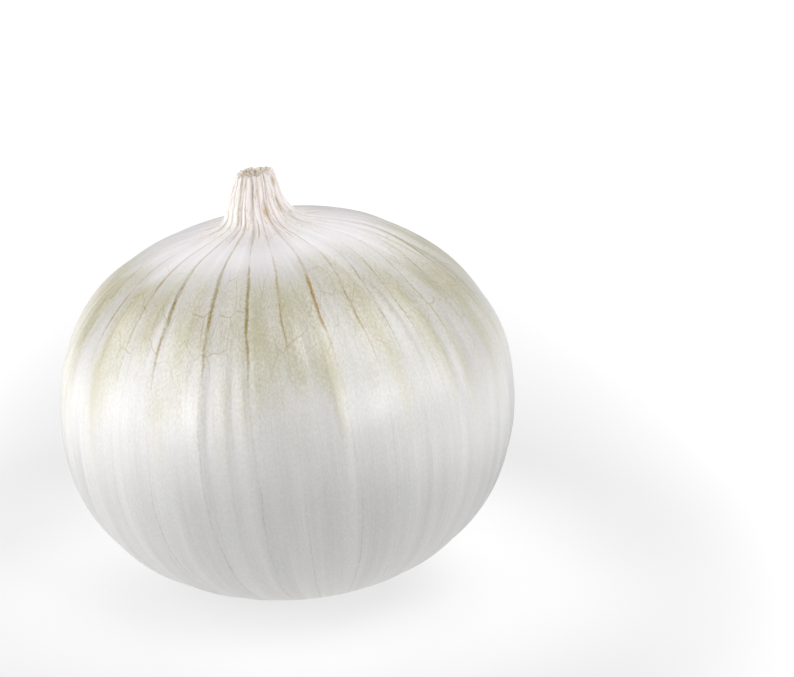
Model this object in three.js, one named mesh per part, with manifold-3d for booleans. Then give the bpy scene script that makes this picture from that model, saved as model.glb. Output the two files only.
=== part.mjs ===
// A white onion as it stands on a table, leaning a few degrees. It has two pieces: the bulb in its dry skin,
// which is drawn together at the top into a pleated, cut neck, and the root plate underneath, with the stubs
// of its trimmed roots.
//
// Millimetres, +Z up. The surface it stands on is z = 0, and the origin is under the middle of the bulb.
// The pieces are shaped in the bulb's own frame, with its axis on Z and its equator at z = 0. A group then
// leans them over and stands them on the surface.

import * as THREE from "three";
import { mergeVertices } from "three/addons/utils/BufferGeometryUtils.js";
import Module from "manifold-3d";

const wasm = await Module();
wasm.setup();

// The bulb. Its outline is two quarters of a superellipse, one above the equator and one below.
const EQUATOR_RADIUS = 43;
const RISE = 35.5; // from the equator up to where the shoulders would meet
const DROP = 36.2; // from the equator down to where the base would close
const SHOULDER_FULLNESS = 2.25; // 2 is an ellipse, and more is squarer
const BASE_FULLNESS = 2.2;
const BASE_ROWS = 12;
const SHOULDER_ROWS = 11;
const NECK_ROWS = 11;
const COLUMNS = 96;

// What keeps the bulb from being perfectly round.
const SWAY = 1.15; // how far its two ends sit to one side of the axis
const SWAY_HEIGHT = 33.5; // distance from the equator at which they are fully there
const SWAY_POWER = 5;
const OVAL = 0.004; // share of the radius by which it is longer one way than the other
const OVAL_ANGLE = Math.PI / 4;
const DROOP = 0.6; // how much less full the shoulder is on the +X side
const DROOP_HEIGHTS = [6, 20];
const DROOP_RADII = [18, 30];
const SHOULDER_SLOPE = 0.03; // how steeply the top of the shoulders rises towards +X
const SLOPE_HEIGHTS = [24, RISE];
const RIB_COUNT = 19;
const RIB_DEPTH = 0.16;
const RIB_RADII = [14, 34];

// The neck.
const FLARE_RADIUS = 15; // where the shoulder starts to turn up into it
const NECK_OUTLINE = [
  // radius, height above the point where the shoulders would meet
  [11.2, -0.62],
  [8.5, 0.05],
  [6.7, 1.2],
  [5.3, 4],
  [4.3, 7],
  [3.55, 9.4],
];
const NECK_TOP = RISE + NECK_OUTLINE.at(-1)[1];
const NECK_SWAY = 0.38; // how far the neck's foot sits over to -X of the shoulder that it grows from
const NECK_SWAY_HEIGHTS = [RISE, RISE + 4];
const NECK_RETURN_HEIGHTS = [RISE + 3, NECK_TOP]; // the neck comes back over the shoulder here
const NECK_FLATTENING = 0.26; // the rim is that much narrower from front to back
const RIM_RAGGED = 0.45;
const RIM_BACK_RISE = 0.25;
const RIM_WALL = 0.75;
const RIM_ROUNDING = 0.12;
const MOUTH_DEPTH = 0.9;
const MOUTH_FLOOR_RADIUS = 1.2;

// The pleats, from the rim down onto the shoulder.
const PLEAT_COUNT = 11;
const PLEAT_DEPTH = 0.75;
const PLEAT_UNEVENNESS = 0.5; // share of a pleat's width by which its edges wander
const PLEAT_SQUARENESS = 2.4; // 2 is a round crown, and more is flatter
const PLEAT_RADII = [5.5, 13]; // full depth at the first radius, run out at the second

// The root plate, in a hollow of the base.
const HOLLOW_RADIUS = 5.6;
const HOLLOW_LIP = 0.5;
const HOLLOW_DEPTH = 2.2;
const GAP = 0.3; // between the two pieces
const PLATE_THICKNESS = 1.5;
const PLATE_SIDES = 28;
const ROOT_COUNT = 46;
const ROOT_RADIUS = 0.42;
const ROOT_LENGTH = 2.4;
const ROOT_SIDES = 5;
const ROOT_SPREAD = 0.78; // share of the plate's radius that the roots grow on
const ROOT_FAN = 0.3; // how far the outermost roots lean outwards, in radians

// How it stands.
const LEAN = THREE.MathUtils.degToRad(6);
const FLAT_DEPTH = 0.6; // how much of the round base the flat spot takes off

// Colours and finishes.
const skinFinish = new THREE.MeshStandardMaterial({ color: 0xe9e8e2, roughness: 0.42, metalness: 0 });
const rootFinish = new THREE.MeshStandardMaterial({ color: 0xb79a6b, roughness: 0.9, metalness: 0 });

// A number from 0 to 1 that looks random and is the same each time.
function scatter(n) {
  const s = Math.sin(n * 12.9898 + 4.1414) * 43758.5453;
  return s - Math.floor(s);
}

// 0 below a range, 1 above it, and a soft step between.
const softStep = ([low, high], x) => THREE.MathUtils.smoothstep(x, low, high);

// Points of a superellipse quarter, from the equator to a circle nearer the axis.
function quarter(height, fullness, endRadius, rows) {
  const end = Math.acos(Math.pow(endRadius / EQUATOR_RADIUS, fullness / 2));
  return Array.from({ length: rows + 1 }, (_, i) => {
    const t = (end * i) / rows;
    return new THREE.Vector2(
      EQUATOR_RADIUS * Math.pow(Math.cos(t), 2 / fullness),
      height * Math.pow(Math.sin(t), 2 / fullness),
    );
  });
}

// The flare and the neck, on from the last two points of the shoulder.
function neckOutline(before, start) {
  const through = [before, start, ...NECK_OUTLINE.map(([r, h]) => new THREE.Vector2(r, RISE + h))];
  const curve = new THREE.CatmullRomCurve3(
    through.map((p) => new THREE.Vector3(p.x, 0, p.y)),
    false,
    "centripetal",
  );
  const first = 1 / (through.length - 1);
  return Array.from({ length: NECK_ROWS }, (_, i) => {
    const p = curve.getPoint(first + ((1 - first) * (i + 1)) / NECK_ROWS);
    return new THREE.Vector2(p.x, p.z);
  });
}

// From the rim over its rounded edge, down the inside wall and along the floor to the axis.
function mouthOutline(rim) {
  const wall = rim.x - RIM_WALL;
  const floor = rim.y - MOUTH_DEPTH;
  return [
    new THREE.Vector2(rim.x - RIM_WALL / 3, rim.y + RIM_ROUNDING),
    new THREE.Vector2(wall, rim.y - RIM_ROUNDING),
    new THREE.Vector2(wall, rim.y - MOUTH_DEPTH / 2),
    new THREE.Vector2((wall + MOUTH_FLOOR_RADIUS) / 2, floor + RIM_WALL / 2),
    new THREE.Vector2(MOUTH_FLOOR_RADIUS, floor),
    new THREE.Vector2(0, floor),
  ];
}

const base = quarter(-DROP, BASE_FULLNESS, HOLLOW_RADIUS, BASE_ROWS).reverse();
const shoulder = quarter(RISE, SHOULDER_FULLNESS, FLARE_RADIUS, SHOULDER_ROWS).slice(1);
const neck = neckOutline(shoulder.at(-2), shoulder.at(-1));
const hollowRoof = base[0].y + HOLLOW_DEPTH;
const hollow = [
  new THREE.Vector2(0, hollowRoof),
  new THREE.Vector2(HOLLOW_RADIUS - HOLLOW_LIP, hollowRoof),
  new THREE.Vector2(HOLLOW_RADIUS - HOLLOW_LIP / 2, base[0].y + HOLLOW_LIP),
];
// The whole half outline, from the axis below to the axis above.
const outline = [...hollow, ...base, ...shoulder, ...neck, ...mouthOutline(neck.at(-1))];
const rimRow = outline.indexOf(neck.at(-1));

// The pleats' first edges, in turns round the neck, and how far each crown stands out.
const pleats = Array.from({ length: PLEAT_COUNT }, (_, i) => ({
  edge: (i + PLEAT_UNEVENNESS * scatter(i + 1)) / PLEAT_COUNT,
  crown: 0.65 + 0.35 * scatter(i + 41),
}));

// The pleated surface at an angle round the neck: up to 1 on a crown, and 0 in the crease on each side.
function pleat(angle) {
  const turn = pleats[0].edge + THREE.MathUtils.euclideanModulo(angle / (2 * Math.PI) - pleats[0].edge, 1);
  const i = pleats.findLastIndex(({ edge }) => edge <= turn);
  const next = i + 1 < PLEAT_COUNT ? pleats[i + 1].edge : pleats[0].edge + 1;
  const across = (turn - pleats[i].edge) / (next - pleats[i].edge);
  return pleats[i].crown * (1 - Math.pow(Math.abs(2 * across - 1), PLEAT_SQUARENESS));
}

// How strongly the pleats show: fully on the neck, and faintly on the flare and the shoulder below it.
function pleatShare(at) {
  if (at.y < 0) return 0;
  const outOfShoulder = Math.pow(1 - softStep(PLEAT_RADII, at.x), 2);
  const onNeck = softStep([RISE - 1.5, RISE + 3], at.y);
  return outOfShoulder * Math.max(0.75 * onNeck, 0.16) + 0.25 * softStep([RISE + 4, NECK_TOP], at.y);
}

// Soft lengthwise swellings of the flesh under the skin.
function rib(angle) {
  const wandering = Math.cos(RIB_COUNT * angle + 0.9 * Math.sin(3 * angle));
  return wandering * (0.65 + 0.35 * Math.sin(2 * angle + 1.1));
}

function swayAt(height) {
  const ends = Math.sign(height) * SWAY * Math.pow(Math.min(Math.abs(height) / SWAY_HEIGHT, 1), SWAY_POWER);
  return -ends - NECK_SWAY * (softStep(NECK_SWAY_HEIGHTS, height) - softStep(NECK_RETURN_HEIGHTS, height));
}

// Where a point of the outline lands on the bulb at an angle round the axis. The relief stands out along the
// outline's normal, and in the mouth away from the axis, so that the wall keeps its thickness.
function skinPoint(row, angle) {
  const at = outline[row];
  if (at.x === 0) return new THREE.Vector3(swayAt(at.y), 0, at.y);
  const along = outline[row + 1].clone().sub(outline[row - 1]).normalize();
  const outward = row > rimRow ? new THREE.Vector2(1, 0) : new THREE.Vector2(along.y, -along.x);
  const fold = pleatShare(at) * PLEAT_DEPTH * (pleat(angle) - 0.6);
  const swell = softStep(RIB_RADII, at.x) * RIB_DEPTH * rib(angle);
  const droop = 0.5 * DROOP * (1 + Math.cos(angle)) * softStep(DROOP_HEIGHTS, at.y) * softStep(DROOP_RADII, at.x);
  const relief = outward.multiplyScalar(fold + swell - droop);
  const oval = OVAL * at.x * Math.cos(2 * (angle - OVAL_ANGLE));
  const slope = SHOULDER_SLOPE * at.x * Math.cos(angle) * softStep(SLOPE_HEIGHTS, at.y);
  const ragged = RIM_RAGGED * (pleat(angle + 0.35) - 0.5) + RIM_BACK_RISE * Math.sin(angle);
  const radius = at.x + oval + relief.x;
  return new THREE.Vector3(
    radius * Math.cos(angle) + swayAt(at.y),
    radius * Math.sin(angle) * (1 - NECK_FLATTENING * softStep([RISE + 1, NECK_TOP], at.y)),
    at.y + relief.y + slope + ragged * softStep([NECK_TOP - 3, NECK_TOP], at.y),
  );
}

// LatheGeometry lists its points column by column, and each of them is moved to its place on the bulb.
function bulbGeometry() {
  const lathe = new THREE.LatheGeometry(outline, COLUMNS);
  const position = lathe.getAttribute("position");
  for (let i = 0; i < position.count; i++) {
    const column = Math.floor(i / outline.length);
    const p = skinPoint(i % outline.length, (2 * Math.PI * column) / COLUMNS);
    position.setXYZ(i, p.x, p.y, p.z);
  }
  return lathe;
}

// manifold-3d solids from three.js geometries, and back.
function solidFrom(geometry) {
  const bare = geometry.clone();
  bare.deleteAttribute("normal");
  bare.deleteAttribute("uv");
  const merged = mergeVertices(bare, 1e-4);
  const mesh = new wasm.Mesh({
    numProp: 3,
    vertProperties: new Float32Array(merged.getAttribute("position").array),
    triVerts: new Uint32Array(merged.index.array),
  });
  return new wasm.Manifold(mesh);
}

function geometryFrom(solid) {
  const mesh = solid.getMesh();
  const geometry = new THREE.BufferGeometry();
  geometry.setAttribute("position", new THREE.BufferAttribute(mesh.vertProperties, mesh.numProp));
  geometry.setIndex(new THREE.BufferAttribute(mesh.triVerts, 1));
  geometry.computeVertexNormals();
  return geometry;
}

// The plate: a disc, domed downwards. LatheGeometry turns it round Y, so it is stood up on Z afterwards.
function plateGeometry(roof, edge) {
  const disc = new THREE.LatheGeometry(
    [
      new THREE.Vector2(0, roof - PLATE_THICKNESS),
      new THREE.Vector2(0.55 * edge, roof - 0.9 * PLATE_THICKNESS),
      new THREE.Vector2(0.9 * edge, roof - 0.6 * PLATE_THICKNESS),
      new THREE.Vector2(edge, roof - 0.25 * PLATE_THICKNESS),
      new THREE.Vector2(edge, roof),
      new THREE.Vector2(0, roof),
    ],
    PLATE_SIDES,
  );
  return disc.rotateX(Math.PI / 2).translate(swayAt(-DROP), 0, 0);
}

// One root stub, hanging from inside the plate. The stubs follow a sunflower's spiral, so they spread evenly.
function rootGeometry(i, top, reach) {
  const out = Math.sqrt((i + 0.5) / ROOT_COUNT);
  const goldenAngle = Math.PI * (3 - Math.sqrt(5));
  const radius = ROOT_RADIUS * (0.75 + 0.5 * scatter(i + 200));
  const length = ROOT_LENGTH * (0.8 + 0.4 * scatter(i + 100));
  const stub = new THREE.CylinderGeometry(radius, 0.55 * radius, length, ROOT_SIDES);
  stub.translate(0, -length / 2, 0).rotateX(Math.PI / 2);
  stub.rotateY(-ROOT_FAN * out + 0.25 * (scatter(i + 300) - 0.5));
  stub.translate(reach * out, 0, top).rotateZ(i * goldenAngle + 0.4 * (scatter(i) - 0.5));
  return stub.translate(swayAt(-DROP), 0, 0);
}

function rootPlateSolid() {
  const roof = hollowRoof - GAP;
  const edge = HOLLOW_RADIUS - HOLLOW_LIP - GAP;
  let plate = solidFrom(plateGeometry(roof, edge));
  for (let i = 0; i < ROOT_COUNT; i++) {
    plate = plate.add(solidFrom(rootGeometry(i, roof - 0.3 * PLATE_THICKNESS, ROOT_SPREAD * edge)));
  }
  return plate;
}

// The lowest that a shape reaches once it leans.
function lowestWhenLeaning(geometry) {
  const position = geometry.getAttribute("position");
  let lowest = Infinity;
  for (let i = 0; i < position.count; i++) {
    lowest = Math.min(lowest, position.getX(i) * Math.sin(LEAN) + position.getZ(i) * Math.cos(LEAN));
  }
  return lowest;
}

// What lies under the surface that the onion stands on is cut off both pieces. In the bulb's own frame, that
// surface is the one that leans.
const bulbShape = bulbGeometry();
const surface = lowestWhenLeaning(bulbShape) + FLAT_DEPTH;
const side = 4 * EQUATOR_RADIUS;
const below = new THREE.BoxGeometry(side, side, side).translate(0, 0, surface - side / 2).rotateY(LEAN);
const belowSurface = solidFrom(below);

const bulb = new THREE.Mesh(geometryFrom(solidFrom(bulbShape).subtract(belowSurface)), skinFinish);
bulb.name = "bulb";

const rootPlate = new THREE.Mesh(geometryFrom(rootPlateSolid().subtract(belowSurface)), rootFinish);
rootPlate.name = "root_plate";

// Leaning the top towards -X turns the pieces backwards about Y.
const leaning = new THREE.Group();
leaning.add(bulb, rootPlate);
leaning.rotation.y = -LEAN;
leaning.updateMatrixWorld(true);

// The middle of the bulb goes over the origin, and the flat spot on z = 0.
const middle = new THREE.Box3().setFromObject(leaning, true).getCenter(new THREE.Vector3());
leaning.position.set(-middle.x, -middle.y, -surface);

const onion = new THREE.Group();
onion.add(leaning);

export default onion;
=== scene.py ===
# %% [markdown]
# # A white onion
# A white onion is one swollen bud: thick fleshy leaf bases, wrapped in a few dry papery skins. The skins are drawn
# together at the top into a neck, which was cut off after the onion dried, and they are joined underneath to a
# small root plate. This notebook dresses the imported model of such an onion: it rebuilds the bulb finely enough for
# its folds, gives the skin its veins and its satin gloss, and stands it in soft studio light.

# %% Load the fixed frame
import math

import bmesh
import bpy
import numpy as np
from mathutils import Matrix, Vector, noise


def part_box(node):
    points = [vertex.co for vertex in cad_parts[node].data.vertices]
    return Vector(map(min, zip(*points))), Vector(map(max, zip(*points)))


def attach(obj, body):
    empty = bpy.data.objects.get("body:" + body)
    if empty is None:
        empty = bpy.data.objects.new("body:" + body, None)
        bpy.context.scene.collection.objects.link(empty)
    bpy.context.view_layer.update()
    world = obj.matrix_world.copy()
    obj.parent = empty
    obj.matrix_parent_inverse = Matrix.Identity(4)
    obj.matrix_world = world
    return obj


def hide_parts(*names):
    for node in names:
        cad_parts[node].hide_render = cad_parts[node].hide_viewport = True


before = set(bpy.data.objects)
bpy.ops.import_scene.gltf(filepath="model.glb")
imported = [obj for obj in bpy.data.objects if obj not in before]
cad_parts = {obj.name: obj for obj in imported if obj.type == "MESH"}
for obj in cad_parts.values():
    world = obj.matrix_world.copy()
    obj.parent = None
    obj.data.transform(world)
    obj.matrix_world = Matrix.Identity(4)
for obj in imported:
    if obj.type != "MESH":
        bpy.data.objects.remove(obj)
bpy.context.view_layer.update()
MM = 0.001

# %% [markdown]
# ## The bulb's outline
# The bulb is a turned shape at heart. Seen from the side it is an ellipse that is a little squarer than a true one
# (a superellipse), with the neck growing out of its top in a smooth flare. The sizes are the ones that the solid
# model has, in millimetres, so that the fine skin lies exactly where the solid is.

# %% Sizes of the bulb and its neck
EQUATOR_RADIUS = 43
RISE, DROP = 35.5, 36.2
SHOULDER_FULLNESS, BASE_FULLNESS = 2.25, 2.2
FLARE_RADIUS = 15
NECK_OUTLINE = [(11.2, -0.62), (8.5, 0.05), (6.7, 1.2), (5.3, 4), (4.3, 7), (3.55, 9.4)]
NECK_TOP = RISE + NECK_OUTLINE[-1][1]
RIM_WALL, RIM_ROUNDING, MOUTH_DEPTH, MOUTH_FLOOR_RADIUS = 0.75, 0.12, 0.9, 1.2
HOLLOW_RADIUS, HOLLOW_LIP, HOLLOW_DEPTH = 5.6, 0.5, 2.2
SWAY, SWAY_HEIGHT, SWAY_POWER = 1.15, 33.5, 5
NECK_SWAY, NECK_SWAY_HEIGHTS, NECK_RETURN_HEIGHTS = 0.38, (RISE, RISE + 4), (RISE + 3, NECK_TOP)
LEAN, FLAT_DEPTH = math.radians(6), 0.6


def quarter(height, fullness, end_radius, rows):
    """Points of a superellipse quarter, from the equator to a circle nearer the axis."""
    end = math.acos((end_radius / EQUATOR_RADIUS) ** (fullness / 2))
    t = np.linspace(0, end, rows + 1)
    return np.stack([EQUATOR_RADIUS * np.cos(t) ** (2 / fullness), height * np.sin(t) ** (2 / fullness)], 1)


def smooth_curve(through, steps):
    """A centripetal Catmull-Rom curve through points, from the second one to the last, in even steps of each span."""
    p = np.array(through, float)
    p = np.vstack([p, 2 * p[-1] - p[-2]])
    found = []
    for i in range(1, len(p) - 2):
        a, b, c, d = p[i - 1 : i + 3]
        knots = np.cumsum([0] + [np.linalg.norm(y - x) ** 0.5 for x, y in ((a, b), (b, c), (c, d))])
        for t in np.linspace(knots[1], knots[2], steps + 1)[1:]:
            near = [
                ((knots[k + 1] - t) * x + (t - knots[k]) * y) / (knots[k + 1] - knots[k])
                for k, (x, y) in enumerate(((a, b), (b, c), (c, d)))
            ]
            low = ((knots[2] - t) * near[0] + (t - knots[0]) * near[1]) / (knots[2] - knots[0])
            high = ((knots[3] - t) * near[1] + (t - knots[1]) * near[2]) / (knots[3] - knots[1])
            found.append(((knots[2] - t) * low + (t - knots[1]) * high) / (knots[2] - knots[1]))
    return np.array(found)


def straight(points, steps):
    """Straight runs through points, each in even steps, without the first point."""
    runs = [np.linspace(a, b, steps + 1)[1:] for a, b in zip(points, points[1:])]
    return np.vstack(runs)


# %% The outline, from the axis below to the axis above
base = quarter(-DROP, BASE_FULLNESS, HOLLOW_RADIUS, 46)[::-1]
shoulder = quarter(RISE, SHOULDER_FULLNESS, FLARE_RADIUS, 44)[1:]
neck = smooth_curve([shoulder[-2], shoulder[-1]] + [(r, RISE + h) for r, h in NECK_OUTLINE], 9)
rim_r, rim_h = neck[-1]
wall, floor_h = rim_r - RIM_WALL, rim_h - MOUTH_DEPTH
mouth = straight(
    [
        (rim_r, rim_h),
        (rim_r - RIM_WALL / 3, rim_h + RIM_ROUNDING),
        (wall, rim_h - RIM_ROUNDING),
        (wall, rim_h - MOUTH_DEPTH / 2),
        ((wall + MOUTH_FLOOR_RADIUS) / 2, floor_h + RIM_WALL / 2),
        (MOUTH_FLOOR_RADIUS, floor_h),
        (0, floor_h),
    ],
    3,
)
roof = base[0][1] + HOLLOW_DEPTH
lip = (HOLLOW_RADIUS - HOLLOW_LIP / 2, base[0][1] + HOLLOW_LIP)
hollow = straight([(0, roof), (HOLLOW_RADIUS - HOLLOW_LIP, roof), lip], 4)
outline = np.vstack([[(0, roof)], hollow, base, shoulder, neck, mouth])
rim_row = 1 + len(hollow) + len(base) + len(shoulder) + len(neck) - 1
equator_row = 1 + len(hollow) + len(base) - 1
steps = np.linalg.norm(np.diff(outline, axis=0), axis=1)
along = np.concatenate([[0], np.cumsum(steps)])
along -= along[equator_row]
RIM_S = float(along[rim_row])
print(len(outline), "rows; from the equator it is", round(along[rim_row], 1), "mm up to the rim")

# %% [markdown]
# ## Spinning it round
# In the editor this is the Spin tool: the outline's edges are swept round the upright axis in 360 steps. Each
# vertex keeps the number of its row in a layer, which makes it easy to find again when it is moved afterwards.

# %% Spin the outline
COLUMNS = 360
turned = bmesh.new()
row_layer = turned.verts.layers.int.new("row")
chain = []
for row, (r, h) in enumerate(outline):
    vertex = turned.verts.new((r, 0, h))
    vertex[row_layer] = row
    chain.append(vertex)
chain_edges = [turned.edges.new(pair) for pair in zip(chain, chain[1:])]
bmesh.ops.spin(
    turned,
    geom=chain + chain_edges,
    cent=(0, 0, 0),
    axis=(0, 0, 1),
    angle=2 * math.pi,
    steps=COLUMNS,
    use_merge=True,
)
bmesh.ops.remove_doubles(turned, verts=turned.verts, dist=1e-5)
bmesh.ops.recalc_face_normals(turned, faces=turned.faces)
turned.verts.index_update()
rows = np.array([v[row_layer] for v in turned.verts])
spun = np.array([v.co for v in turned.verts])
angle = np.arctan2(spun[:, 1], spun[:, 0])
at_r, at_h = outline[rows, 0], outline[rows, 1]
print(len(turned.verts), "vertices,", len(turned.faces), "faces, rows", rows.min(), "to", rows.max())

# %% [markdown]
# ## Relief
# A real bulb is not quite round. It is slightly oval, its two ends sit a little to one side, one shoulder is less
# full, and soft ribs run down it where the leaf bases swell. Round the neck the skins are gathered into pleats,
# like cloth in a drawstring. Each of these is a small move of the vertices along the surface's normal, by the same
# formulas that the solid model uses. The fine creases that follow are too small for the solid.

# %% Formulas for the relief
OVAL, OVAL_ANGLE = 0.004, math.pi / 4
DROOP, DROOP_HEIGHTS, DROOP_RADII = 0.6, (6, 20), (18, 30)
SHOULDER_SLOPE, SLOPE_HEIGHTS = 0.03, (24, RISE)
RIB_COUNT, RIB_DEPTH, RIB_RADII = 19, 0.16, (14, 34)
NECK_FLATTENING = 0.26
RIM_RAGGED, RIM_BACK_RISE = 0.45, 0.25
PLEAT_COUNT, PLEAT_DEPTH, PLEAT_UNEVENNESS, PLEAT_SQUARENESS, PLEAT_RADII = 11, 0.75, 0.5, 2.4, (5.5, 13)


def scatter(n):
    """A number from 0 to 1 that looks random and is the same each time."""
    s = np.sin(n * 12.9898 + 4.1414) * 43758.5453
    return s - np.floor(s)


def soft_step(span, x):
    t = np.clip((x - span[0]) / (span[1] - span[0]), 0, 1)
    return t * t * (3 - 2 * t)


numbers = np.arange(PLEAT_COUNT)
pleat_edges = (numbers + PLEAT_UNEVENNESS * scatter(numbers + 1)) / PLEAT_COUNT
pleat_crowns = 0.65 + 0.35 * scatter(numbers + 41)


def pleat(a):
    """The pleated surface at an angle round the neck: up to 1 on a crown, and 0 in the crease on each side."""
    turn = pleat_edges[0] + np.mod(a / (2 * math.pi) - pleat_edges[0], 1)
    i = np.searchsorted(pleat_edges, turn, side="right") - 1
    end = np.append(pleat_edges[1:], pleat_edges[0] + 1)[i]
    across = (turn - pleat_edges[i]) / (end - pleat_edges[i])
    return pleat_crowns[i] * (1 - np.abs(2 * across - 1) ** PLEAT_SQUARENESS)


def sway_at(h):
    ends = np.sign(h) * SWAY * np.minimum(np.abs(h) / SWAY_HEIGHT, 1) ** SWAY_POWER
    return -ends - NECK_SWAY * (soft_step(NECK_SWAY_HEIGHTS, h) - soft_step(NECK_RETURN_HEIGHTS, h))


def ripple(a, s, round_count, length, seed):
    """Smooth noise on the skin, from -1 to 1: its lumps are so many round the axis and so long in millimetres."""
    return np.array(
        [
            noise.noise(Vector((round_count * math.cos(x), round_count * math.sin(x), y / length + seed)))
            for x, y in zip(a, s)
        ]
    )


# %% [markdown]
# ## Where the main veins run
# Every main vein is a meridian that wanders a little, and near the neck they fan out. They are counted round the
# bulb: at each vertex, "counted" is a whole number on a vein, and a half halfway to the next one. The skin is drawn
# in along the veins when it dries, so on the neck the same count also places the finest creases.

# %% Count the veins
# Degrees round the bulb of the veins on its front, how strong each one is, and how ochre.
FRONT_VEINS = [-174, -162, -151, -138, -126, -110.5, -97.5, -86.5, -73.5, -62.5, -54, -46.5, -36, -24]
FRONT_STRENGTH = [0.3, 0.4, 0.6, 0.75, 1, 0.95, 1, 0.5, 0.95, 0.7, 0.35, 0.5, 0.3, 0.3]
FRONT_OCHRE = [0.5, 0.3, 0.6, 0.8, 0, 0.1, 0.2, 0.7, 1, 0.6, 0.4, 0.5, 0.5, 0.5]
BACK_VEIN_SPACING = 13.2
back_count = int((360 - 174 + 24) / BACK_VEIN_SPACING) - 1
back = [-24 + BACK_VEIN_SPACING * (k + 1 + 0.3 * (float(scatter(k)) - 0.5)) for k in range(back_count)]
veins = FRONT_VEINS + back
VEIN_COUNT = len(veins)
VEIN_SPREAD = 7  # degrees by which the veins fan out towards the neck
VEIN_WANDER = 1.4  # degrees
VEIN_KINK = 0.5  # degrees
NECK_WANDER = 4  # degrees
s_at = along[rows]
spread = VEIN_SPREAD * np.sin(angle + math.radians(105)) * soft_step((26, 46), s_at)
wobble = VEIN_WANDER * ripple(angle, s_at, 4, 26, 1.0) + VEIN_KINK * ripple(angle, s_at, 9, 6, 2.0) - spread
wobble += NECK_WANDER * ripple(angle, s_at, 2, 8, 5.0) * soft_step((46, 58), s_at)
ring = np.array([v + 360 * turn for turn in (-1, 0, 1) for v in veins])
ring_count = np.arange(len(ring)) - VEIN_COUNT
counted = np.interp(np.degrees(angle) + wobble, ring, ring_count)
last_gaps = [round(veins[-1] - veins[-2], 1), round(360 + FRONT_VEINS[0] - veins[-1], 1)]
print(VEIN_COUNT, "main veins; the last two gaps, degrees:", last_gaps)

# %% Relief, with fine creases that the solid model leaves out
WRINKLE_DEPTH, CRUMPLE, RIM_NIBBLE = 0.12, 0.11, 0.25  # mm
CREASE_DEPTH, CREASE_WIDTH = 0.1, 0.2  # mm
wander = 0.1 * ripple(angle, s_at, 1.5, 7, 3.0) * soft_step((44, 56), s_at)
out_of_shoulder = (1 - soft_step(PLEAT_RADII, at_r)) ** 2
on_neck = soft_step((RISE - 1.5, RISE + 3), at_h)
pleat_share = out_of_shoulder * np.maximum(0.75 * on_neck, 0.16) + 0.25 * soft_step((RISE + 4, NECK_TOP), at_h)
pleat_share = np.where(at_h < 0, 0, pleat_share)
fold = pleat_share * PLEAT_DEPTH * (pleat(angle + wander) - 0.6)
on_paper = soft_step((47, 57), s_at)
wrinkle = 1 - 2 * np.abs(ripple(angle, s_at, 5.5, 8, 7.0))
fold += WRINKLE_DEPTH * np.minimum(wrinkle, 0.6) * on_paper
fold += CRUMPLE * ripple(angle, s_at, 14, 1.6, 9.0) * on_paper
off_vein = np.abs(counted - np.round(counted)) * 2 * math.pi / VEIN_COUNT * np.maximum(at_r, 3)
vein_crease = np.exp(-((off_vein / CREASE_WIDTH) ** 2))
fold -= CREASE_DEPTH * vein_crease * on_paper * np.where(at_r > 2, 1, 0)
rib = np.cos(RIB_COUNT * angle + 0.9 * np.sin(3 * angle)) * (0.65 + 0.35 * np.sin(2 * angle + 1.1))
swell = soft_step(RIB_RADII, at_r) * RIB_DEPTH * rib
droop = 0.5 * DROOP * (1 + np.cos(angle)) * soft_step(DROOP_HEIGHTS, at_h) * soft_step(DROOP_RADII, at_r)
relief = fold + swell - droop
print("deepest crease, mm:", round(float(-relief.min()), 2), " highest crown, mm:", round(float(relief.max()), 2))

# %% Move every vertex to its place
previous = outline[np.maximum(rows - 1, 0)]
following = outline[np.minimum(rows + 1, len(outline) - 1)]
tangent = following - previous
tangent /= np.linalg.norm(tangent, axis=1)[:, None]
in_mouth, on_mouth_floor = rows > rim_row, rows > rim_row + 9
out_r = np.where(on_mouth_floor, 0, np.where(in_mouth, 1, tangent[:, 1]))
out_h = np.where(on_mouth_floor, 1, np.where(in_mouth, 0, -tangent[:, 0]))
ragged = RIM_RAGGED * (pleat(angle + 0.35) - 0.5) + RIM_BACK_RISE * np.sin(angle)
ragged += RIM_NIBBLE * ripple(angle, 0 * s_at, 6, 1, 11.0)
slope = SHOULDER_SLOPE * at_r * np.cos(angle) * soft_step(SLOPE_HEIGHTS, at_h)
on_axis = at_r == 0
near_rim = soft_step((NECK_TOP - 3, NECK_TOP), at_h)
radius = np.where(on_axis, 0, at_r * (1 + OVAL * np.cos(2 * (angle - OVAL_ANGLE))) + out_r * relief)
placed = np.stack(
    [
        radius * np.cos(angle) + sway_at(at_h),
        radius * np.sin(angle) * (1 - NECK_FLATTENING * soft_step((RISE + 1, NECK_TOP), at_h)),
        np.where(on_axis, at_h, at_h + out_h * relief + slope + ragged * near_rim),
    ],
    1,
)

# %% [markdown]
# ## Standing it up
# The onion leans 6 degrees and rests on a small flat spot, where its weight has pressed the skin flat on the
# table. The surface is found from the leaning shape, and whatever would lie below it is laid on it.

# %% Lean it and stand it on the surface
leaning = Matrix.Rotation(-LEAN, 3, "Y")
leaned = placed @ np.array(leaning).T
surface = leaned[:, 2].min() + FLAT_DEPTH
middle = (leaned.min(0) + leaned.max(0)) / 2
shift = np.array([-middle[0], -middle[1], -surface])
stood = leaned + shift
stood[:, 2] = np.maximum(stood[:, 2], 0)
for vertex, place in zip(turned.verts, stood * MM):
    vertex.co = place
low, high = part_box("bulb")
print("fine bulb, mm:", stood.min(0).round(2), stood.max(0).round(2))
print("solid bulb, mm:", [round(c / MM, 2) for c in (*low, *high)])

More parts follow.
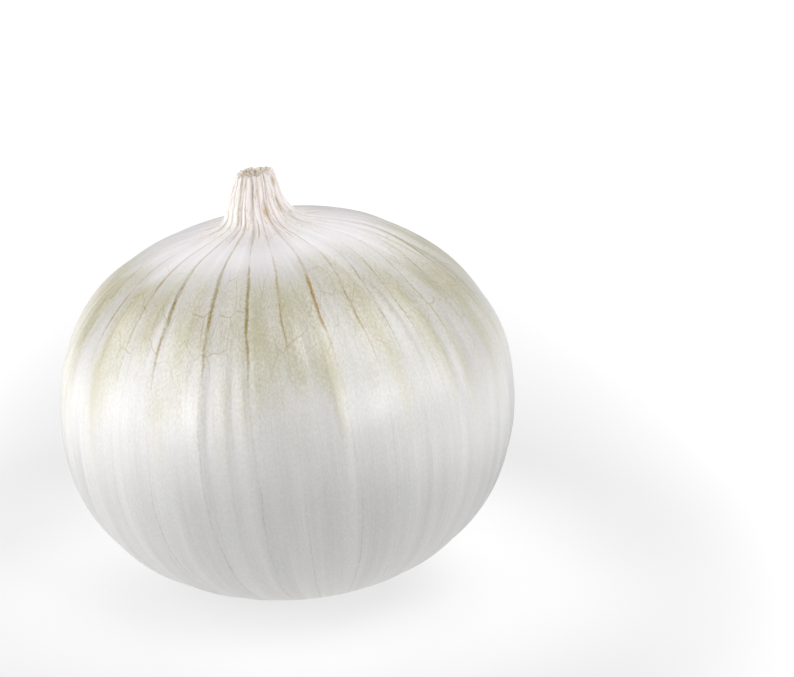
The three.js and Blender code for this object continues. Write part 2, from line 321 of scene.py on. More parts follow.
# %% [markdown]
# ## Coordinates that follow the skin
# Everything on an onion's skin runs from the neck to the root: veins, fibres and streaks are all meridians, like
# those on a globe. Object coordinates know nothing of that, so the mesh carries coordinates and marks of its own:
# - a UV map whose U counts the main veins, so that each whole number is a vein, and whose V is the distance from
#   the equator along the skin in millimetres;
# - "grain", a point on a tube as wide as the equator: fine patterns made on it are drawn together at both ends;
# - "girth", the radius there in millimetres, which turns a share of the vein spacing into a real width;
# - "crease", which is 1 where two pleats of the neck meet, and falls to 0 on the crown of a pleat, and "stain",
#   which is 1 in the middle of the few places on the neck that have dried brown;
# - "vein_mood", the strength of the nearest main vein, and how ochre it is.

# %% Write the coordinates into the mesh
bulb_mesh = bpy.data.meshes.new("onion_bulb")
turned.to_mesh(bulb_mesh)
turned.free()
bulb = bpy.data.objects.new("onion_bulb", bulb_mesh)
bpy.context.scene.collection.objects.link(bulb)
for polygon in bulb_mesh.polygons:
    polygon.use_smooth = True

grain = np.stack([EQUATOR_RADIUS * np.cos(angle), EQUATOR_RADIUS * np.sin(angle), s_at], 1)
bulb_mesh.attributes.new("grain", "FLOAT_VECTOR", "POINT").data.foreach_set("vector", grain.ravel())
bulb_mesh.attributes.new("girth", "FLOAT", "POINT").data.foreach_set("value", np.maximum(at_r, 0.5))
bulb_mesh.attributes.new("crease", "FLOAT", "POINT").data.foreach_set("value", 1 - pleat(angle + wander))

# Where on the neck it has dried brown: degrees round it, mm along the skin, and the half width and length in mm.
STAINS = [(-72, 59.5, 0.7, 2.2), (-40, 59.6, 0.9, 2), (-30, 64.2, 0.7, 1.5), (-88, 63, 0.35, 2.2), (140, 60, 1, 2.4)]
stain = np.zeros(len(angle))
for stain_angle, stain_s, stain_width, stain_length in STAINS:
    aside = (np.mod(np.degrees(angle) - stain_angle + 180, 360) - 180) * math.pi / 180 * at_r
    stain = np.maximum(stain, np.exp(-((aside / stain_width) ** 2) - ((s_at - stain_s) / stain_length) ** 2))
bulb_mesh.attributes.new("stain", "FLOAT", "POINT").data.foreach_set("value", stain)

nearest = np.round(counted).astype(int) % VEIN_COUNT
strength = np.array(FRONT_STRENGTH + [0.35 + 0.6 * float(scatter(k + 60)) for k in range(back_count)])[nearest]
ochre = np.array(FRONT_OCHRE + [float(scatter(k + 90)) for k in range(back_count)])[nearest]
mood = np.stack([strength, ochre, 0 * strength], 1)
bulb_mesh.attributes.new("vein_mood", "FLOAT_VECTOR", "POINT").data.foreach_set("vector", mood.ravel())

corner_vertex = np.zeros(len(bulb_mesh.loops), int)
bulb_mesh.loops.foreach_get("vertex_index", corner_vertex)
first_corner = np.zeros(len(bulb_mesh.polygons), int)
bulb_mesh.polygons.foreach_get("loop_start", first_corner)
corner_count = np.diff(np.append(first_corner, len(corner_vertex)))
corner_angle = np.degrees(angle)[corner_vertex]
corner_angle[on_axis[corner_vertex]] = -1e3
widest = np.repeat(np.maximum.reduceat(corner_angle, first_corner), corner_count)
corner_angle = np.where(corner_angle < -999, widest, corner_angle)
corner_angle = widest + np.mod(corner_angle - widest + 180, 360) - 180
corner_count_of_veins = np.interp(corner_angle + wobble[corner_vertex], ring, ring_count)
uv = np.stack([corner_count_of_veins, s_at[corner_vertex]], 1)
bulb_mesh.uv_layers.new(name="veins").data.foreach_set("uv", uv.ravel())
SEAM_COUNT = float(np.interp(-180, ring, ring_count))
print("U runs from", uv[:, 0].min().round(2), "to", uv[:, 0].max().round(2))

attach(bulb, "root")
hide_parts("bulb")

# %% [markdown]
# ## The root plate
# Underneath, the leaf bases join on a hard little disc, the onion's real stem. Dozens of dried roots hang from it,
# trimmed short. A disc made of a few circles, each one extruded from the last, and tapered cones that are bent
# afterwards are all it takes: the roots are as thin as string.

# %% Make the plate
GAP = 0.3
PLATE_THICKNESS = 1.5
ROOT_COUNT, ROOT_RADIUS, ROOT_LENGTH, ROOT_SPREAD, ROOT_FAN = 120, 0.26, 2.5, 0.86, 0.34
plate_top = roof - GAP
plate_edge = HOLLOW_RADIUS - HOLLOW_LIP - GAP
plate = bmesh.new()
made = bmesh.ops.create_circle(plate, cap_ends=True, segments=96, radius=plate_edge)
bmesh.ops.translate(plate, verts=made["verts"], vec=(0, 0, plate_top))
PLATE_RINGS = [(1.0, 0.25), (0.97, 0.45), (0.9, 0.62), (0.76, 0.8), (0.55, 0.92), (0.3, 0.98), (0.1, 1.0)]
face = plate.faces[:][0]
ring_share = 1.0
for share, depth in PLATE_RINGS:
    grown = bmesh.ops.extrude_face_region(plate, geom=[face])["geom"]
    plate.faces.remove(face)
    face = next(g for g in grown if isinstance(g, bmesh.types.BMFace))
    for vertex in face.verts:
        vertex.co.x *= share / ring_share
        vertex.co.y *= share / ring_share
        vertex.co.z = plate_top - depth * PLATE_THICKNESS
    ring_share = share
top_edge = [v for v in plate.verts if abs(v.co.z - plate_top) < 1e-6]
bmesh.ops.contextual_create(plate, geom=top_edge)
for vertex in plate.verts:
    bumpy = noise.noise(vertex.co * 1.3) + 0.5 * noise.noise(vertex.co * 3.1)
    vertex.co.z += 0.12 * bumpy * (vertex.co.z < plate_top - 0.3)
bmesh.ops.translate(plate, verts=plate.verts, vec=(float(sway_at(-DROP)), 0, 0))
print("plate:", len(plate.faces), "faces")

# %% Hang the roots from it
GOLDEN_ANGLE = math.pi * (3 - math.sqrt(5))
for i in range(ROOT_COUNT):
    out = math.sqrt((i + 0.5) / ROOT_COUNT)
    length = ROOT_LENGTH * (0.55 + 0.65 * float(scatter(i + 100)))
    thick = ROOT_RADIUS * (0.7 + 0.6 * float(scatter(i + 200)))
    before = len(plate.verts)
    cone = bmesh.ops.create_cone(
        plate, cap_ends=True, cap_tris=False, segments=7, radius1=0.6 * thick, radius2=thick, depth=length
    )["verts"]
    cone_edges = {e for v in cone for e in v.link_edges}
    sides = [e for e in cone_edges if abs(e.verts[0].co.z - e.verts[1].co.z) > length / 2]
    bmesh.ops.subdivide_edges(plate, edges=sides, cuts=4, use_grid_fill=True)
    root = plate.verts[before:]
    curl = 0.5 * (float(scatter(i + 400)) - 0.5)
    for vertex in root:
        vertex.co.z -= length / 2
        hang = -vertex.co.z / length
        vertex.co.x += curl * length * hang**2 + 0.08 * math.sin(7 * hang + i)
        vertex.co.y += 0.08 * math.cos(6 * hang + 2 * i)
    fan = Matrix.Rotation(-ROOT_FAN * out + 0.3 * (float(scatter(i + 300)) - 0.5), 4, "Y")
    reach = Matrix.Translation((ROOT_SPREAD * plate_edge * out, 0, plate_top - 0.3 * PLATE_THICKNESS))
    turn = Matrix.Rotation(i * GOLDEN_ANGLE + 0.4 * (float(scatter(i)) - 0.5), 4, "Z")
    place = Matrix.Translation((float(sway_at(-DROP)), 0, 0)) @ turn @ reach @ fan
    bmesh.ops.transform(plate, matrix=place, verts=root)
bmesh.ops.remove_doubles(plate, verts=plate.verts, dist=1e-5)
bmesh.ops.recalc_face_normals(plate, faces=plate.faces)
stand = Matrix.Translation(Vector(shift)) @ leaning.to_4x4()
bmesh.ops.transform(plate, matrix=Matrix.Scale(MM, 4) @ stand, verts=plate.verts)
for vertex in plate.verts:
    vertex.co.z = max(vertex.co.z, 0)
plate_mesh = bpy.data.meshes.new("onion_root_plate")
plate.to_mesh(plate_mesh)
plate.free()
root_plate = bpy.data.objects.new("onion_root_plate", plate_mesh)
bpy.context.scene.collection.objects.link(root_plate)
for polygon in plate_mesh.polygons:
    polygon.use_smooth = True
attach(root_plate, "root")
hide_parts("root_plate")
print("root plate:", len(plate_mesh.polygons), "faces")

# %% [markdown]
# ## Dry onion skin
# The skin of a white onion is dead leaf tissue, as thin as tissue paper and a little waxy, so it has a soft satin
# gloss over milk-white flesh. Its veins are dry bundles of fibre that show golden brown near the neck, where the
# skin was green longest, and only as faint grey lines lower down. It is made in a shader because every one of these
# marks is only colour: nothing of it can be felt. The base is one Principled shader with a little scattering,
# as light enters the flesh. Patterns are added one at a time.

# %% Helpers for materials


def paint(colour):
    """An sRGB hex colour as the linear colour that Blender works in."""
    parts = [int(colour[i : i + 2], 16) / 255 for i in (1, 3, 5)]
    return [p / 12.92 if p <= 0.04045 else ((p + 0.055) / 1.055) ** 2.4 for p in parts] + [1]


def material(name):
    """An empty node material, its tree, and its Principled shader."""
    made = bpy.data.materials.new(name)
    made.use_nodes = True
    return made, made.node_tree, made.node_tree.nodes["Principled BSDF"]


def add(tree, kind, inputs=(), out=0, **settings):
    """Adds a node, feeds its inputs with values or with other nodes' outputs, and gives one of its outputs."""
    made = tree.nodes.new("ShaderNode" + kind)
    for name, value in settings.items():
        setattr(made, name, value)
    for socket, value in inputs.items() if isinstance(inputs, dict) else enumerate(inputs):
        if isinstance(value, bpy.types.NodeSocket):
            tree.links.new(value, made.inputs[socket])
        else:
            made.inputs[socket].default_value = value
    return made.outputs[out]


# Settings that come back often: the sums, a remap that eases in and out, and a mix of two colours. The inputs of a
# remap are the value, its two ends, and the two ends that they become, which are 0 and 1 if they are left out. The
# inputs of a colour mix are 0, the share, and 6 and 7, the colours, and its output 2 is the mixed colour.
PLUS, TIMES, OVER, LARGER = ({"operation": word} for word in ("ADD", "MULTIPLY", "DIVIDE", "MAXIMUM"))
TIMES_PLUS = {"operation": "MULTIPLY_ADD"}
SMOOTH = {"interpolation_type": "SMOOTHSTEP"}
COLOUR = {"data_type": "RGBA"}

# %% [markdown]
# ### The grain of the skin
# Nearly all that one sees on the skin is soft noise, drawn out lengthwise: silky streaks, fibres, patches of tint.
# They are the same node on the same coordinates, and only their sizes differ, so they are made from one list.

# %% Grain patterns
skin, tree, shader = material("dry_white_onion_skin")
veins_uv = add(tree, "UVMap", uv_map="veins")
u, v = (add(tree, "SeparateXYZ", [veins_uv], axis) for axis in "XY")
grain_at = add(tree, "Attribute", out="Vector", attribute_name="grain")
girth = add(tree, "Attribute", out="Fac", attribute_name="girth")

# The width of each pattern across the skin and its length along it, in mm, its detail, and where it starts.
GRAINS = {
    "streaks": (4.2, 60, 1.3, (0, 0, 0)),
    "fibres": (0.5, 30, 2, (5, 3, 1)),
    "patches": (7, 15, 3, (6, 2, 9)),
    "broad": (40, 60, 1, (1, 5, 3)),
    "speckle": (0.38, 0.6, 2, (4, 4, 7)),
    "blotches": (4, 6, 3, (3, 3, 8)),
    "grains": (0.3, 0.5, 2, (1, 9, 2)),
    "gaps": (6, 9, 2, (9, 1, 1)),
    "gloss": (2.5, 14, 3, (8, 1, 5)),
    "pink": (5, 16, 4, (2, 7, 4)),
    "crumples": (9, 5, 3, (5, 1, 6)),
    "blots": (2, 3, 3, (5, 5, 5)),
    "lips": (1.6, 30, 2, (3, 8, 8)),
}
grain = {}
for name, (width, length, detail, start) in GRAINS.items():
    at = add(tree, "Mapping", {0: grain_at, "Location": start, "Scale": (1 / width, 1 / width, 1 / length)})
    grain[name] = add(tree, "TexNoise", {"Vector": at, "Scale": 1, "Detail": detail})
print(len(grain), "grain patterns")

# %% [markdown]
# ### The ground colour
# White with a breath of cream. Above the widest part the skin was above the soil and stayed green a little longer,
# which leaves a band of pale straw. Patches and streaks are added to the height before it is compared with the
# band's two edges, and that frays them. The neck is bare paper, pinkish, and brown along its creases.

# %% Ground colour
WHITE, LILAC, CREAM_AND_BOUNCE = paint("#e3e2e1"), paint("#e4dfe2"), paint("#ebe4db")
STRAW, PALE_STRAW = paint("#c3bea1"), paint("#e1ddd7")
# How far each pattern moves an edge up, and between which heights the edges run, in mm along the skin.
PATCH_FRAY, STREAK_FRAY, TOP_FRAY = 16, 30, 22
BAND_BOTTOM, BAND_TOP, SHOULDER_BOTTOM = (22, 54), (61, 43), (46, 58)
BASE_TOP, PAPER_BOTTOM = (-34, -54), (48, 55)
lower_edge = add(tree, "Math", [grain["patches"], PATCH_FRAY, v], **TIMES_PLUS)
lower_edge = add(tree, "Math", [grain["streaks"], STREAK_FRAY, lower_edge], **TIMES_PLUS)
above_lower_edge = add(tree, "MapRange", [lower_edge, *BAND_BOTTOM], **SMOOTH)
upper_edge = add(tree, "Math", [grain["patches"], TOP_FRAY, v], **TIMES_PLUS)
below_upper_edge = add(tree, "MapRange", [upper_edge, *BAND_TOP], **SMOOTH)
band = add(tree, "Math", [above_lower_edge, below_upper_edge], **TIMES)
mottled = 0
for name, weight in {"patches": 0.6, "streaks": 0.45, "speckle": 0.5, "broad": 0.3}.items():
    mottled = add(tree, "Math", [grain[name], weight, mottled], **TIMES_PLUS)
tinted = add(tree, "MapRange", [mottled, 0.68, 1.12], **SMOOTH)
straw = add(tree, "Mix", {0: tinted, 6: PALE_STRAW, 7: STRAW}, 2, **COLOUR)
on_shoulder = add(tree, "MapRange", [upper_edge, *SHOULDER_BOTTOM, 0, 0.9], **SMOOTH)
# Towards the root the skin turns cream and is painted a little lighter than the rest: partly its own colour, partly
# painted bounce light from the table below.
on_base = add(tree, "MapRange", [v, *BASE_TOP], **SMOOTH)
papery = add(tree, "MapRange", [v, *PAPER_BOTTOM], **SMOOTH)

# %% Neck paper
PAPER, PINK_PAPER, BROWN_PAPER, STAIN = paint("#f6f2ef"), paint("#ede3e3"), paint("#b09b76"), paint("#b59465")
crease = add(tree, "Attribute", out="Fac", attribute_name="crease")
stain_at = add(tree, "Attribute", out="Fac", attribute_name="stain")
pinkish = add(tree, "MapRange", [grain["pink"], 0.4, 0.6], **SMOOTH)
paper = add(tree, "Mix", {0: pinkish, 6: PAPER, 7: PINK_PAPER}, 2, **COLOUR)
in_crease = add(tree, "MapRange", [crease, 0.75, 1, 0, 0.9], **SMOOTH)
dried = add(tree, "MapRange", [grain["blots"], 0.36, 0.6], **SMOOTH)
# A crumple is a thin crooked line: the places where a noise passes through its middle value.
crumpled = add(tree, "Math", [grain["crumples"], 0.5], operation="SUBTRACT")
crumpled = add(tree, "Math", [crumpled], operation="ABSOLUTE")
crumpled = add(tree, "MapRange", [crumpled, 0.02, 0.004, 0, 0.4], **SMOOTH)
browned = add(tree, "Math", [in_crease, dried], **TIMES)
browned = add(tree, "Math", [browned, crumpled], **LARGER)
stained = add(tree, "MapRange", [stain_at, 0.1, 0.9, 0, 0.8], **SMOOTH)
stained = add(tree, "Math", [stained, dried], **TIMES)
for share, colour in ((browned, BROWN_PAPER), (stained, STAIN)):
    paper = add(tree, "Mix", {0: share, 6: paper, 7: colour}, 2, **COLOUR)

# %% Lay the colours over one another
ground = WHITE
for share, colour in ((band, straw), (on_shoulder, LILAC), (on_base, CREAM_AND_BOUNCE), (papery, paper)):
    ground = add(tree, "Mix", {0: share, 6: ground, 7: colour}, 2, **COLOUR)
# Fibres and speckle vary the skin's own tone. The streaks lighten and darken it in long bands, which is a painted
# sheen beside the real one that their bump gives.
tone_and_sheen = 0.99
for name, depth in {"fibres": 0.02, "speckle": -0.035, "streaks": 0.045}.items():
    change = add(tree, "MapRange", [grain[name], 0.3, 0.7, -depth, depth], **SMOOTH)
    tone_and_sheen = add(tree, "Math", [tone_and_sheen, change], **PLUS)
grey = add(tree, "CombineColor", [tone_and_sheen, tone_and_sheen, tone_and_sheen])
ground = add(tree, "Mix", {0: 1, 6: ground, 7: grey}, 2, blend_type="MULTIPLY", **COLOUR)

# %% [markdown]
# ### The main veins
# U is a whole number on each vein, so the distance to the nearest whole number, times the spacing in millimetres,
# is the distance to the nearest vein. A line is where that distance is less than half the vein's width. Each vein
# has a strength and a tint of its own, which the mesh carries. A little noise in the distance makes the line ragged.

# %% Main veins
SPACING = 2 * math.pi / VEIN_COUNT
THICK_VEIN, THIN_VEIN = 0.6, 0.3  # full widths in millimetres
VEIN_BOTTOM, VEIN_TOP = (11, 28), (46, 36)  # where the thick stretch of a vein begins and ends, mm along the skin
SHOULDER_LINE, LOWER_LINE = (30, 40, 0, 0.75), (20, -30, 0.12, 0.45)  # heights, and how strong it is at each
OLIVE, OCHRE, LOWER_VEIN, NECK_VEIN = paint("#94822e"), paint("#aa8a3c"), paint("#b2aea4"), paint("#a89872")
vein_mood = add(tree, "Attribute", out="Vector", attribute_name="vein_mood")
vein_strength, vein_ochre = (add(tree, "SeparateXYZ", [vein_mood], axis) for axis in "XY")
spacing = add(tree, "Math", [girth, SPACING], **TIMES)
from_vein = add(tree, "Math", [u, 0.5], operation="PINGPONG")
from_vein = add(tree, "Math", [from_vein, spacing], **TIMES)
raggedness = add(tree, "MapRange", [v, *VEIN_TOP, 0.1, 0.75], **SMOOTH)
nudge = add(tree, "Math", [grain["grains"], 0.45], operation="SUBTRACT")
from_vein = add(tree, "Math", [nudge, raggedness, from_vein], **TIMES_PLUS)
above = add(tree, "MapRange", [v, *VEIN_BOTTOM], **SMOOTH)
upper = add(tree, "MapRange", [v, *VEIN_TOP], **SMOOTH)
upper = add(tree, "Math", [above, upper], **TIMES)
line_width = add(tree, "Math", [upper, THICK_VEIN - THIN_VEIN, THIN_VEIN], **TIMES_PLUS)
own_width = add(tree, "Math", [vein_strength, 0.8, 0.5], **TIMES_PLUS)
line_width = add(tree, "Math", [line_width, own_width], **TIMES)
line_share = add(tree, "Math", [from_vein, line_width], **OVER)
line_share = add(tree, "MapRange", [line_share, 0.75, 0.15], **SMOOTH)

# %% How strongly a vein shows from its lower end to the neck
own_reach = add(tree, "Math", [vein_strength, 0.55, 0.5], **TIMES_PLUS)
reach = upper
for line in (SHOULDER_LINE, LOWER_LINE):
    stretch = add(tree, "MapRange", [v, *line], **SMOOTH)
    reach = add(tree, "Math", [reach, stretch], **LARGER)
reach = add(tree, "Math", [reach, own_reach], **TIMES)
for name, low, high, least in (("blotches", 0.36, 0.58, 0.35), ("speckle", 0.32, 0.6, 0.65)):
    broken = add(tree, "MapRange", [grain[name], low, high, least, 1], **SMOOTH)
    reach = add(tree, "Math", [reach, broken], **TIMES)
vein_share = add(tree, "Math", [line_share, reach], **TIMES)
vein_colour = add(tree, "Mix", {0: vein_ochre, 6: OLIVE, 7: OCHRE}, 2, **COLOUR)
for low, high, colour in ((16, 4, LOWER_VEIN), (36, 48, NECK_VEIN)):
    share = add(tree, "MapRange", [v, low, high], **SMOOTH)
    vein_colour = add(tree, "Mix", {0: share, 6: vein_colour, 7: colour}, 2, **COLOUR)

# %% [markdown]
# ### The net of side veins
# Between the main veins runs a net of the finest ones, with cells a few millimetres wide and twice as long. The
# distance to the edges of a Voronoi pattern is such a net. It is a flat pattern laid on the UV map, because a solid
# one would smear where one of its walls lies along the skin. At the map's own seam the net fades out.

# %% Side veins
NET_WIDTH, NET_LENGTH, NET_LINE, NET_BEND = 4, 8.5, 0.12, 0.3
SIDE_VEIN = paint("#a99a63")
net_scale = (EQUATOR_RADIUS * SPACING / NET_WIDTH, 1 / NET_LENGTH, 1)
at_net = add(tree, "VectorMath", [veins_uv, net_scale], operation="MULTIPLY")
BEND_WIDTH, BEND_LENGTH = 3.5, 6  # of the noise that bends the net, in mm
bend_scale = (1 / BEND_WIDTH, 1 / BEND_WIDTH, 1 / BEND_LENGTH)
bend_at = add(tree, "Mapping", {0: grain_at, "Location": (7, 7, 1), "Scale": bend_scale})
bend = add(tree, "TexNoise", {"Vector": bend_at, "Scale": 1, "Detail": 1}, "Color")
bend = add(tree, "VectorMath", {0: bend, "Scale": NET_BEND}, operation="SCALE")
at_net = add(tree, "VectorMath", [at_net, bend], **PLUS)
off_net = add(
    tree,
    "TexVoronoi",
    {"Vector": at_net, "Scale": 1, "Randomness": 0.85},
    feature="DISTANCE_TO_EDGE",
    voronoi_dimensions="2D",
)
net_share = add(tree, "MapRange", [off_net, NET_LINE / NET_WIDTH, 0.25 * NET_LINE / NET_WIDTH], **SMOOTH)
off_seam = add(tree, "Math", [u, SEAM_COUNT], operation="SUBTRACT")
off_seam = add(tree, "Math", [off_seam, VEIN_COUNT / 2], operation="PINGPONG")
for value, low, high, least, most in (
    (v, 12, 24, 0, 1),
    (v, *VEIN_TOP, 0, 1),
    (grain["gaps"], 0.38, 0.58, 0.08, 0.45),
    (off_seam, 0.3, 1, 0, 1),
):
    faded = add(tree, "MapRange", [value, low, high, least, most], **SMOOTH)
    net_share = add(tree, "Math", [net_share, faded], **TIMES)

# %% Draw the veins on the ground, and the inner paper in the mouth
INNER_PAPER, INNER_CREASE = paint("#f6f0ea"), paint("#cbb89e")
inside = add(tree, "MapRange", [v, RIM_S + 0.2, RIM_S + 0.7], **SMOOTH)
creased = add(tree, "MapRange", [grain["lips"], 0.4, 0.6], **SMOOTH)
inner_paper = add(tree, "Mix", {0: creased, 6: INNER_PAPER, 7: INNER_CREASE}, 2, **COLOUR)
drawn = ground
for share, colour in ((net_share, SIDE_VEIN), (vein_share, vein_colour), (inside, inner_paper)):
    drawn = add(tree, "Mix", {0: share, 6: drawn, 7: colour}, 2, **COLOUR)
tree.links.new(drawn, shader.inputs["Base Color"])

# %% [markdown]
# ### Satin
# Dry skin shines like satin, because its wax lies over fine lengthwise ridges. Each highlight is drawn out along
# them and frays at its edges, which the bump does. The wax has an index of refraction of about 1.45; it is raised
# here until the sheen is as strong as on a real one. The neck has lost its wax and is dull.

# %% Gloss, scattering and a fine bump
SILK_GIRTHS, SILK_DEPTHS = (12, 34), (0.05, 0.7)  # mm: the ridges flatten out towards both ends
FIBRE_DEPTH, VEIN_DEPTH, SPECKLE_DEPTH = 0.02, 0.03, 0.012  # mm
NECK_DULLING = (48, 56, 0, 0.25)  # heights in mm, and what each adds to the roughness
silk = add(tree, "MapRange", [girth, *SILK_GIRTHS, *SILK_DEPTHS], **SMOOTH)
height = add(tree, "Math", [grain["streaks"], silk], **TIMES)
for pattern, depth in ((grain["fibres"], FIBRE_DEPTH), (vein_share, VEIN_DEPTH), (grain["speckle"], SPECKLE_DEPTH)):
    height = add(tree, "Math", [pattern, depth, height], **TIMES_PLUS)
bump = add(tree, "Bump", {"Strength": 1, "Distance": MM, "Height": height})  # the height is in mm
satin = add(tree, "MapRange", [grain["gloss"], 0.3, 0.7, 0.32, 0.44], **SMOOTH)
dull = add(tree, "MapRange", [v, *NECK_DULLING], **SMOOTH)
gloss = add(tree, "Math", [satin, dull], **PLUS)
tree.links.new(gloss, shader.inputs["Roughness"])
tree.links.new(bump, shader.inputs["Normal"])
shader.inputs["IOR"].default_value = 1.6
shader.inputs["Specular IOR Level"].default_value = 1
shader.inputs["Subsurface Weight"].default_value = 0.15
shader.inputs["Subsurface Radius"].default_value = (1.0, 0.8, 0.55)
shader.inputs["Subsurface Scale"].default_value = 2 * MM
bulb_mesh.materials.append(skin)
print("skin material:", len(tree.nodes), "nodes")

# %% [markdown]
# ## Dried root fibre
# Dry roots are like coarse string: tan, matt, and darker in broad patches.

# %% Root material
FIBRE_WIDTH, SHADE_WIDTH, FIBRE_RELIEF = 0.4, 3, 0.1  # mm
BROWN_FIBRE, TAN_FIBRE, SHADED_FIBRE = paint("#a98a5c"), paint("#d2bb8f"), paint("#8a6c45")
root_fibre, tree, shader = material("dried_onion_root")
place = add(tree, "TexCoord", out="Object")
fine = add(tree, "TexNoise", {"Vector": place, "Scale": 1 / (FIBRE_WIDTH * MM), "Detail": 3})
broad = add(tree, "TexNoise", {"Vector": place, "Scale": 1 / (SHADE_WIDTH * MM), "Detail": 2})
darker = add(tree, "MapRange", [broad, 0.4, 0.7], **SMOOTH)
tan = add(tree, "Mix", {0: fine, 6: BROWN_FIBRE, 7: TAN_FIBRE}, 2, **COLOUR)
tan = add(tree, "Mix", {0: darker, 6: tan, 7: SHADED_FIBRE}, 2, **COLOUR)
root_bump = add(tree, "Bump", {"Strength": 0.5, "Distance": FIBRE_RELIEF * MM, "Height": fine})
tree.links.new(tan, shader.inputs["Base Color"])
tree.links.new(root_bump, shader.inputs["Normal"])
shader.inputs["Roughness"].default_value = 0.85
plate_mesh.materials.append(root_fibre)

# %% [markdown]
# ## Studio
# The onion stands on a white table in front of a white background, so bright that both run into one another. In a
# studio one would light them apart from the object, and the same is done here. The camera sees a glowing sheet and
# a dome. The onion sees another sheet in the same place, a grey one, which glows only beside it and close to it.

# %% Table and its bounce light
WIDE = 3  # metres
SEEN_GLOW = (0.05, 0.35, 0.48, 0.85)  # two distances from the middle in metres, and the glow at each
NEAR_GLOW, LEFT_GLOW, RIGHT_GLOW = 0.56, 1.55, 0.85
NEAR_EDGE, BESIDE_EDGE, FAR_SIDE = (0.09, 0.04), (0.05, 0.09), 0.16  # metres


def table_sheet(name, grey):
    """A flat sheet that the onion stands on, with a material that glows. Gives the parts to wire it with."""
    mesh = bpy.data.meshes.new(name)
    sheet = bmesh.new()
    bmesh.ops.create_grid(sheet, x_segments=1, y_segments=1, size=WIDE)
    sheet.to_mesh(mesh)
    sheet.free()
    made = bpy.data.objects.new(name, mesh)
    bpy.context.scene.collection.objects.link(made)
    cover, tree, shader = material(name)
    shader.inputs["Base Color"].default_value = paint(grey)
    shader.inputs["Roughness"].default_value = 0.9
    shader.inputs["Emission Color"].default_value = paint("#ffffff")
    mesh.materials.append(cover)
    place = add(tree, "TexCoord", out="Object")
    off = add(tree, "VectorMath", [place], "Value", operation="LENGTH")
    return made, tree, shader.inputs["Emission Strength"], place, off


seen_table, tree, glow_socket, place, off = table_sheet("glowing_table", "#b4b4b4")
# The glow is weakest close to the onion. This is a painted shade round its foot, on top of the shadow that the lamps
# cast; further out the sheet is evenly white.
glow = add(tree, "MapRange", [off, *SEEN_GLOW])
tree.links.new(glow, glow_socket)
seen_table.visible_diffuse = False
seen_table.visible_glossy = False

bounce, tree, glow_socket, place, off = table_sheet("grey_bounce", "#b0b0b0")
to_side = add(tree, "SeparateXYZ", [place], "X")
beside = add(tree, "MapRange", [off, *BESIDE_EDGE], **SMOOTH)
glow = add(tree, "MapRange", [off, *NEAR_EDGE, 0, NEAR_GLOW], **SMOOTH)
for far, brightness in ((-FAR_SIDE, LEFT_GLOW), (FAR_SIDE, RIGHT_GLOW)):
    side = add(tree, "MapRange", [to_side, far / 4, far, 0, brightness], **SMOOTH)
    glow = add(tree, "Math", [side, beside, glow], **TIMES_PLUS)
tree.links.new(glow, glow_socket)
bounce.visible_camera = False
bounce.visible_shadow = False

# %% Background
ROOM_LIGHT = 0.05
world = bpy.data.worlds.new("studio")
bpy.context.scene.world = world
world.use_nodes = True
world.node_tree.nodes["Background"].inputs["Color"].default_value = (1, 1, 1, 1)
world.node_tree.nodes["Background"].inputs["Strength"].default_value = ROOM_LIGHT

backdrop_mesh = bpy.data.meshes.new("backdrop")
dome = bmesh.new()
bmesh.ops.create_uvsphere(dome, u_segments=48, v_segments=24, radius=WIDE + 1)
dome.to_mesh(backdrop_mesh)
dome.free()
backdrop = bpy.data.objects.new("backdrop", backdrop_mesh)
bpy.context.scene.collection.objects.link(backdrop)
white_backdrop, tree, shader = material("white_backdrop")
shader.inputs["Base Color"].default_value = paint("#000000")
shader.inputs["Emission Color"].default_value = paint("#ffffff")
shader.inputs["Emission Strength"].default_value = 1
backdrop_mesh.materials.append(white_backdrop)
for ray in ("diffuse", "glossy", "transmission", "shadow", "volume_scatter"):
    setattr(backdrop, "visible_" + ray, False)

# %% [markdown]
# ### Lights
# No light comes from the camera's side, which is why the middle of the onion is its darkest part. Wide panels left
# and right, low and high, light its flanks, and a narrow one on each side draws a soft lengthwise highlight. One
# more, behind and above, gives the shoulders their pale sheen. They are out of sight, and show only in the gloss.

# %% Lights
CENTRE = Vector((0, 0, (DROP - FLAT_DEPTH) * MM))


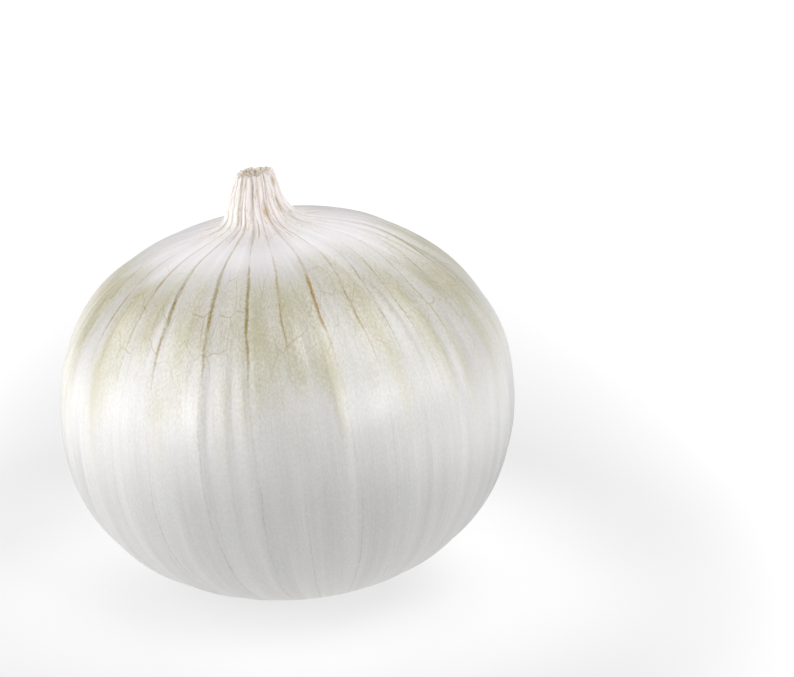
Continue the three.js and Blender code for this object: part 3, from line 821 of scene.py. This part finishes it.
def softbox(name, azimuth, elevation, distance, width, height, brightness):
    """A light panel that faces the onion. Azimuth 0 is the camera's side, and 90 is to its right. Sizes in metres."""
    light = bpy.data.lights.new(name, "AREA")
    light.shape = "RECTANGLE"
    light.size, light.size_y = width, height
    light.energy = brightness * math.pi * width * height
    lamp = bpy.data.objects.new(name, light)
    a, e = math.radians(azimuth), math.radians(elevation)
    away = Vector((math.sin(a) * math.cos(e), -math.cos(a) * math.cos(e), math.sin(e)))
    lamp.location = CENTRE + away * distance
    lamp.rotation_mode = "QUATERNION"
    lamp.rotation_quaternion = away.to_track_quat("Z", "Y")
    lamp.visible_camera = False
    bpy.context.scene.collection.objects.link(lamp)


softbox("left_low", -82, 6, 0.8, 0.92, 0.3, 2.55)
softbox("left_high", -82, 34, 0.8, 0.92, 0.4, 1.95)
softbox("left_strip", -45, 14, 0.8, 0.2, 0.4, 5.4)
softbox("right_low", 70, 18, 0.9, 0.9, 0.45, 2.2)
softbox("right_high", 66, 55, 0.9, 0.9, 0.5, 2.4)
softbox("right_strip", 37, 18, 0.8, 0.22, 0.36, 4.0)
softbox("behind", 180, 36, 1.1, 1.0, 0.8, 2.0)

# %% [markdown]
# ## Camera
# A long lens, 0.65 m away and 18 degrees above the horizon. It is turned a little, so that the onion stands left of
# the middle and low in the frame.

# %% Camera
FRAME_WIDTH = 794
FOCAL_PIXELS = 3417
ELEVATION = math.radians(18)
DISTANCE = 0.65
OFF_CENTRE = Vector((109.2, 60.8))  # pixels that the onion stands left of the middle and below it
camera = bpy.data.cameras.new("camera")
camera.sensor_width = 36
camera.lens = FOCAL_PIXELS * camera.sensor_width / FRAME_WIDTH
eye = bpy.data.objects.new("camera", camera)
ahead = Vector((0, math.cos(ELEVATION), -math.sin(ELEVATION)))
upward = Vector((0, math.sin(ELEVATION), math.cos(ELEVATION)))
aim = CENTRE + (Vector((1, 0, 0)) * OFF_CENTRE.x + upward * OFF_CENTRE.y) * DISTANCE / FOCAL_PIXELS
eye.location = CENTRE - ahead * DISTANCE
eye.rotation_mode = "QUATERNION"
eye.rotation_quaternion = (aim - eye.location).to_track_quat("-Z", "Y")
bpy.context.scene.collection.objects.link(eye)
bpy.context.scene.camera = eye
bpy.context.scene.view_settings.view_transform = "Standard"
